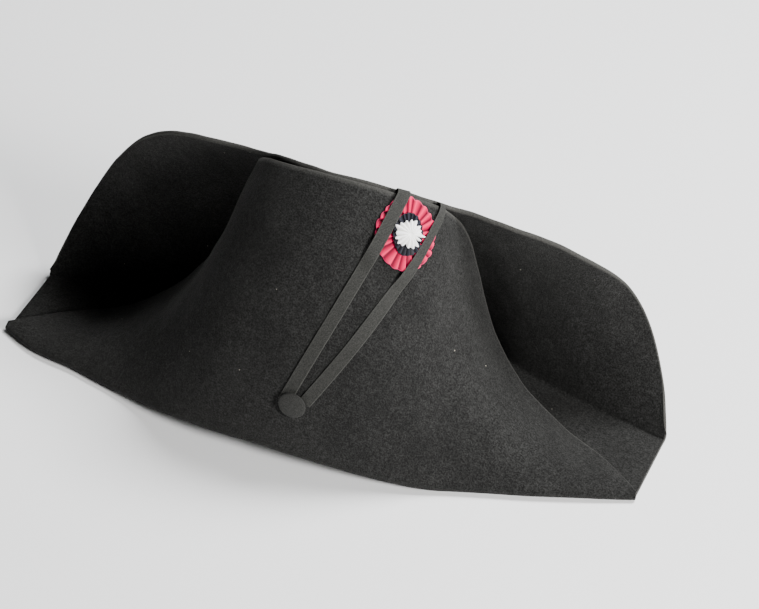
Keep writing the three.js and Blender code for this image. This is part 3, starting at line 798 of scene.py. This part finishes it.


# %% [markdown]
# ## Wool felt
# Felt is matted wool with no threads. It is very dark and matt, with a soft lighter bloom where
# the fibres catch light at a slant, which the sheen gives. Close up it is mottled by curled
# fibres. Real ones are finer than a pixel here, so a noise of about 1 mm stands for them, and
# one of 4 mm for the matted lumps; both vary colour and bump. One of 3 cm gives worn patches,
# and sparse dots are lint. A paler grey along the cut edge is a painted highlight.

# %% Felt material
def felt_material():
    """Black felt: fibres times lumps times worn patches, then a painted highlight along the cut
    edge, and the lint.
    """
    material, tree, output = new_material("black_wool_felt")
    place = add(tree, "ShaderNodeTexCoord").outputs["Object"]
    fuzz = add(tree, "ShaderNodeTexNoise", Vector=place, Scale=900.0, Detail=4.0, Roughness=0.65)
    patches = add(tree, "ShaderNodeTexNoise", Vector=place, Scale=32.0, Detail=3.0, Roughness=0.5)
    lumps = add(tree, "ShaderNodeTexNoise", Vector=place, Scale=260.0, Detail=3.0, Roughness=0.6)
    fibre = add(tree, "ShaderNodeValToRGB", Fac=fuzz.outputs["Fac"])
    fibre.color_ramp.elements[0].position = 0.38
    fibre.color_ramp.elements[0].color = linear("#151514")
    fibre.color_ramp.elements[1].position = 0.66
    fibre.color_ramp.elements[1].color = linear("#343433")
    mottle = add(tree, "ShaderNodeValToRGB", Fac=lumps.outputs["Fac"])
    mottle.color_ramp.elements[0].position = 0.38
    mottle.color_ramp.elements[0].color = (0.62, 0.62, 0.62, 1)
    mottle.color_ramp.elements[1].position = 0.62
    matted = add(tree, "ShaderNodeMix", {"data_type": "RGBA", "blend_type": "MULTIPLY"}, i0=0.8)
    tree.links.new(fibre.outputs["Color"], matted.inputs[6])
    tree.links.new(mottle.outputs["Color"], matted.inputs[7])
    worn = add(tree, "ShaderNodeMix", {"data_type": "RGBA", "blend_type": "MULTIPLY"}, i0=0.5)
    shade = add(tree, "ShaderNodeValToRGB", Fac=patches.outputs["Fac"])
    shade.color_ramp.elements[0].position = 0.35
    shade.color_ramp.elements[0].color = (0.55, 0.55, 0.55, 1)
    shade.color_ramp.elements[1].position = 0.65
    tree.links.new(matted.outputs[2], worn.inputs[6])
    tree.links.new(shade.outputs["Color"], worn.inputs[7])
    # Painted highlight: near the cut edge the felt is mixed towards a paler grey.
    edge = add(tree, "ShaderNodeAttribute", {"attribute_name": "cut_edge"})
    edge_highlight_share = add(tree, "ShaderNodeMath", {"operation": "MULTIPLY"},
                     i0=edge.outputs["Fac"], i1=0.3)
    paler = add(tree, "ShaderNodeMix", {"data_type": "RGBA"}, i0=edge_highlight_share.outputs[0])
    tree.links.new(worn.outputs[2], paler.inputs[6])
    paler.inputs[7].default_value = linear("#605f5b")
    dots = add(tree, "ShaderNodeTexVoronoi", Vector=place, Scale=55.0, Randomness=1.0)
    near = add(tree, "ShaderNodeMath", {"operation": "LESS_THAN"},
               i0=dots.outputs["Distance"], i1=0.028)
    lint = add(tree, "ShaderNodeMix", {"data_type": "RGBA"}, i0=near.outputs[0])
    tree.links.new(paler.outputs[2], lint.inputs[6])
    lint.inputs[7].default_value = linear("#8a867c")
    height = add(tree, "ShaderNodeMath", {"operation": "ADD"},
                 i0=fuzz.outputs["Fac"], i1=lumps.outputs["Fac"])
    bump = add(tree, "ShaderNodeBump", Strength=0.9, Distance=0.0007, Height=height.outputs[0])
    shader = add(tree, "ShaderNodeBsdfPrincipled", Base_Color=lint.outputs[2], Roughness=0.95,
                 Normal=bump.outputs["Normal"])
    shader.inputs["Specular IOR Level"].default_value = 0.12
    shader.inputs["Sheen Weight"].default_value = 0.05
    shader.inputs["Sheen Roughness"].default_value = 0.5
    shader.inputs["Sheen Tint"].default_value = linear("#d8d6d2")
    tree.links.new(shader.outputs[0], output.inputs["Surface"])
    return material


felt.data.materials.append(felt_material())
print("felt material ready")


# %% [markdown]
# ## Grosgrain and button cloth
# Grosgrain has thick weft ribs straight across its width. Real ribs are about 0.5 mm apart and
# would vanish at this distance, so they are drawn at 1 mm. Its selvedges are a line paler. The
# button is covered with the same kind of cloth, in a plain weave.

# %% Strap and button materials
RIB_SPACING = 1.0


def strap_material():
    """Grosgrain: a sine of the length for the ribs, grain, and a paler line at each selvedge."""
    material, tree, output = new_material("grey_grosgrain_ribbon")
    along = add(tree, "ShaderNodeAttribute", {"attribute_name": "along"})
    side = add(tree, "ShaderNodeAttribute", {"attribute_name": "side"})
    place = add(tree, "ShaderNodeTexCoord").outputs["Object"]
    ribs = add(tree, "ShaderNodeMath", {"operation": "SINE"},
               i0=add(tree, "ShaderNodeMath", {"operation": "MULTIPLY"},
                      i0=along.outputs["Fac"], i1=2 * math.pi / RIB_SPACING).outputs[0])
    grain = add(tree, "ShaderNodeTexNoise", Vector=place, Scale=1500.0, Detail=3.0)
    tone = add(tree, "ShaderNodeValToRGB", Fac=grain.outputs["Fac"])
    tone.color_ramp.elements[0].position = 0.3
    tone.color_ramp.elements[0].color = linear("#191918")
    tone.color_ramp.elements[1].position = 0.7
    tone.color_ramp.elements[1].color = linear("#373734")
    reach = add(tree, "ShaderNodeMath", {"operation": "ABSOLUTE"}, i0=side.outputs["Fac"])
    selvedge = add(tree, "ShaderNodeMapRange", Value=reach.outputs[0], From_Min=0.82, From_Max=0.95,
                   To_Min=0.0, To_Max=0.35)
    line = add(tree, "ShaderNodeMix", {"data_type": "RGBA"}, i0=selvedge.outputs[0])
    tree.links.new(tone.outputs["Color"], line.inputs[6])
    line.inputs[7].default_value = linear("#545450")
    height = add(tree, "ShaderNodeMath", {"operation": "MULTIPLY_ADD"},
                 i0=ribs.outputs[0], i1=0.5, i2=grain.outputs["Fac"])
    bump = add(tree, "ShaderNodeBump", Strength=0.5, Distance=0.0003, Height=height.outputs[0])
    shader = add(tree, "ShaderNodeBsdfPrincipled", Base_Color=line.outputs[2], Roughness=0.8,
                 Normal=bump.outputs["Normal"])
    shader.inputs["Specular IOR Level"].default_value = 0.2
    shader.inputs["Sheen Weight"].default_value = 0.03
    tree.links.new(shader.outputs[0], output.inputs["Surface"])
    return material


def button_material():
    """Plain woven cloth: one fine grain for colour and bump."""
    material, tree, output = new_material("grey_button_cloth")
    place = add(tree, "ShaderNodeTexCoord").outputs["Object"]
    cloth = add(tree, "ShaderNodeTexNoise", Vector=place, Scale=1400.0, Detail=3.0, Roughness=0.6)
    tone = add(tree, "ShaderNodeValToRGB", Fac=cloth.outputs["Fac"])
    tone.color_ramp.elements[0].position = 0.32
    tone.color_ramp.elements[0].color = linear("#1c1c1b")
    tone.color_ramp.elements[1].position = 0.68
    tone.color_ramp.elements[1].color = linear("#343432")
    bump = add(tree, "ShaderNodeBump", Strength=0.4, Distance=0.0002, Height=cloth.outputs["Fac"])
    shader = add(tree, "ShaderNodeBsdfPrincipled", Base_Color=tone.outputs["Color"], Roughness=0.82,
                 Normal=bump.outputs["Normal"])
    shader.inputs["Specular IOR Level"].default_value = 0.15
    shader.inputs["Sheen Weight"].default_value = 0.02
    tree.links.new(shader.outputs[0], output.inputs["Surface"])
    return material


strap_cloth = strap_material()
left_strap.data.materials.append(strap_cloth)
right_strap.data.materials.append(strap_cloth)
button.data.materials.append(button_material())
print("strap and button materials ready")


# %% [markdown]
# ## Cockade ribbons
# The three layers are thin woven ribbon. The valleys of the pleats are darker with painted
# shade, and the rim is paler with a painted highlight along the selvedge. The colour follows two
# numbers that each point carries: how far it is from the middle, and how high it stands in its
# pleat.

# %% Ribbon materials
def ribbon_material(name, valley, crest, selvedge, roughness, highlight_from, low=0.1, high=0.8):
    """Ribbon: from a valley colour of painted shade to the crest colour by the fold's height, then
    a selvedge colour at the rim as a painted highlight.
    """
    material, tree, output = new_material(name)
    rim = add(tree, "ShaderNodeAttribute", {"attribute_name": "rim"})
    fold = add(tree, "ShaderNodeAttribute", {"attribute_name": "fold"})
    place = add(tree, "ShaderNodeTexCoord").outputs["Object"]
    lift = add(tree, "ShaderNodeMapRange", Value=fold.outputs["Fac"], From_Min=low, From_Max=high)
    # Painted shade: the pleats' valleys get a darker colour than their crests.
    base = add(tree, "ShaderNodeMix", {"data_type": "RGBA"}, i0=lift.outputs[0])
    base.inputs[6].default_value = linear(valley)
    base.inputs[7].default_value = linear(crest)
    # Painted highlight: towards the rim the colour is mixed towards the paler selvedge colour.
    edge = add(tree, "ShaderNodeMapRange", Value=rim.outputs["Fac"], From_Min=highlight_from,
               From_Max=1.0, To_Min=0.0, To_Max=0.8)
    colour = add(tree, "ShaderNodeMix", {"data_type": "RGBA"}, i0=edge.outputs[0])
    tree.links.new(base.outputs[2], colour.inputs[6])
    colour.inputs[7].default_value = linear(selvedge)
    threads = add(tree, "ShaderNodeTexNoise", Vector=place, Scale=1800.0, Detail=2.0)
    bump = add(tree, "ShaderNodeBump", Strength=0.3, Distance=0.0002, Height=threads.outputs["Fac"])
    shader = add(tree, "ShaderNodeBsdfPrincipled", Base_Color=colour.outputs[2],
                 Roughness=roughness, Normal=bump.outputs["Normal"])
    shader.inputs["Specular IOR Level"].default_value = 0.1
    tree.links.new(shader.outputs[0], output.inputs["Surface"])
    return material


# Each ribbon's valley colour is painted shade, and its selvedge colour is a painted highlight.
red.data.materials.append(
    ribbon_material("red_pleated_ribbon", "#60001e", "#e40e52", "#ee4a7a", 0.5, 0.955))
navy.data.materials.append(
    ribbon_material("navy_pleated_ribbon", "#020205", "#26272f", "#3f4049", 0.45, 0.95))
white.data.materials.append(
    ribbon_material("white_gathered_ribbon", "#e9e7e1", "#ffffff", "#ffffff", 0.75, 0.9, -1.0, 0.2))
print("ribbon materials ready")


# %% [markdown]
# ## Which piece stands for which solid
# Each piece rides on the model's one body and hides the plain solid that it stands for.

# %% Ride and replace
STAND_INS = [
    (felt, "felt_body", "black_felt"),
    (left_strap, "loop_strap_left", "grosgrain_strap"),
    (right_strap, "loop_strap_right", "grosgrain_strap"),
    (button, "cover_button", "button_cloth"),
    (red, "cockade_red_ruffle", "red_ribbon"),
    (navy, "cockade_blue_ruffle", "navy_ribbon"),
    (white, "cockade_white_rosette", "white_ribbon"),
]
for piece, node, slot in STAND_INS:
    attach(piece, "root")
    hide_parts(node)
print("pieces:", len(STAND_INS))


# %% [markdown]
# ## Table, light and camera
# The hat stands on a plain pale table. One soft light stands at the right front and shines
# across the front flap, so the left ear and trough fall dark. A second hangs above and behind,
# which lights the folded wings and the table and leaves a narrow shadow under the left of the
# front fold. The camera is far away with a long lens, turned by 18 degrees, looking down at
# 37.6 degrees and rolled by 3.3 degrees.

# %% Table
table = bpy.data.meshes.new("table")
table.from_pydata([(-6, -6, 0), (6, -6, 0), (6, 6, 0), (-6, 6, 0)], [], [(0, 1, 2, 3)])
table_top = bpy.data.objects.new("table_top", table)
bpy.context.scene.collection.objects.link(table_top)
pale, tree, output = new_material("pale_table")
shader = add(tree, "ShaderNodeBsdfPrincipled", Base_Color=linear("#f8f8f8"), Roughness=0.8)
tree.links.new(shader.outputs[0], output.inputs["Surface"])
table.materials.append(pale)


# %% Lights
def soft_light(name, place, aim, width, power, colour=(1, 1, 1)):
    """A square area light at place, facing aim."""
    light = bpy.data.lights.new(name, "AREA")
    light.shape = "SQUARE"
    light.size = width
    light.energy = power
    light.color = colour
    holder = bpy.data.objects.new(name, light)
    bpy.context.scene.collection.objects.link(holder)
    holder.location = place
    holder.rotation_euler = (Vector(aim) - Vector(place)).to_track_quat("-Z", "Y").to_euler()
    return holder


soft_light("key_light", (1.88, -0.98, 1.1), (0, 0, 0.08), 0.7, 112, (1.0, 0.995, 0.985))
soft_light("top_light", (0.75, 1.0, 1.9), (0, 0, 0), 0.9, 100, (0.98, 0.99, 1.0))
world = bpy.data.worlds.new("room")
world.use_nodes = True
world.node_tree.nodes["Background"].inputs["Color"].default_value = (1, 1, 1, 1)
world.node_tree.nodes["Background"].inputs["Strength"].default_value = 0.04
bpy.context.scene.world = world
print("lights ready")


# %% Camera
YAW = math.radians(18.38)
ELEVATION = math.radians(37.559)
ROLL = math.radians(-3.3)
DISTANCE = 2.55134
TARGET = Vector(((-2.74 + MODEL_SHIFT[0]) * MM, (96.95 + MODEL_SHIFT[1]) * MM, 0))
back = Vector((math.sin(YAW) * math.cos(ELEVATION), -math.cos(YAW) * math.cos(ELEVATION),
               math.sin(ELEVATION)))
level = Vector((math.cos(YAW), math.sin(YAW), 0))
upright = back.cross(level)
right = math.cos(ROLL) * level - math.sin(ROLL) * upright
above = math.sin(ROLL) * level + math.cos(ROLL) * upright
lens = bpy.data.cameras.new("camera")
lens.sensor_width = 36
lens.lens = 3600 / 759 * 36
camera = bpy.data.objects.new("camera", lens)
bpy.context.scene.collection.objects.link(camera)
turn = Matrix((right, above, back)).transposed().to_4x4()
camera.matrix_world = Matrix.Translation(TARGET + back * DISTANCE) @ turn
bpy.context.scene.camera = camera
print("camera at", [round(value, 3) for value in camera.matrix_world.translation])
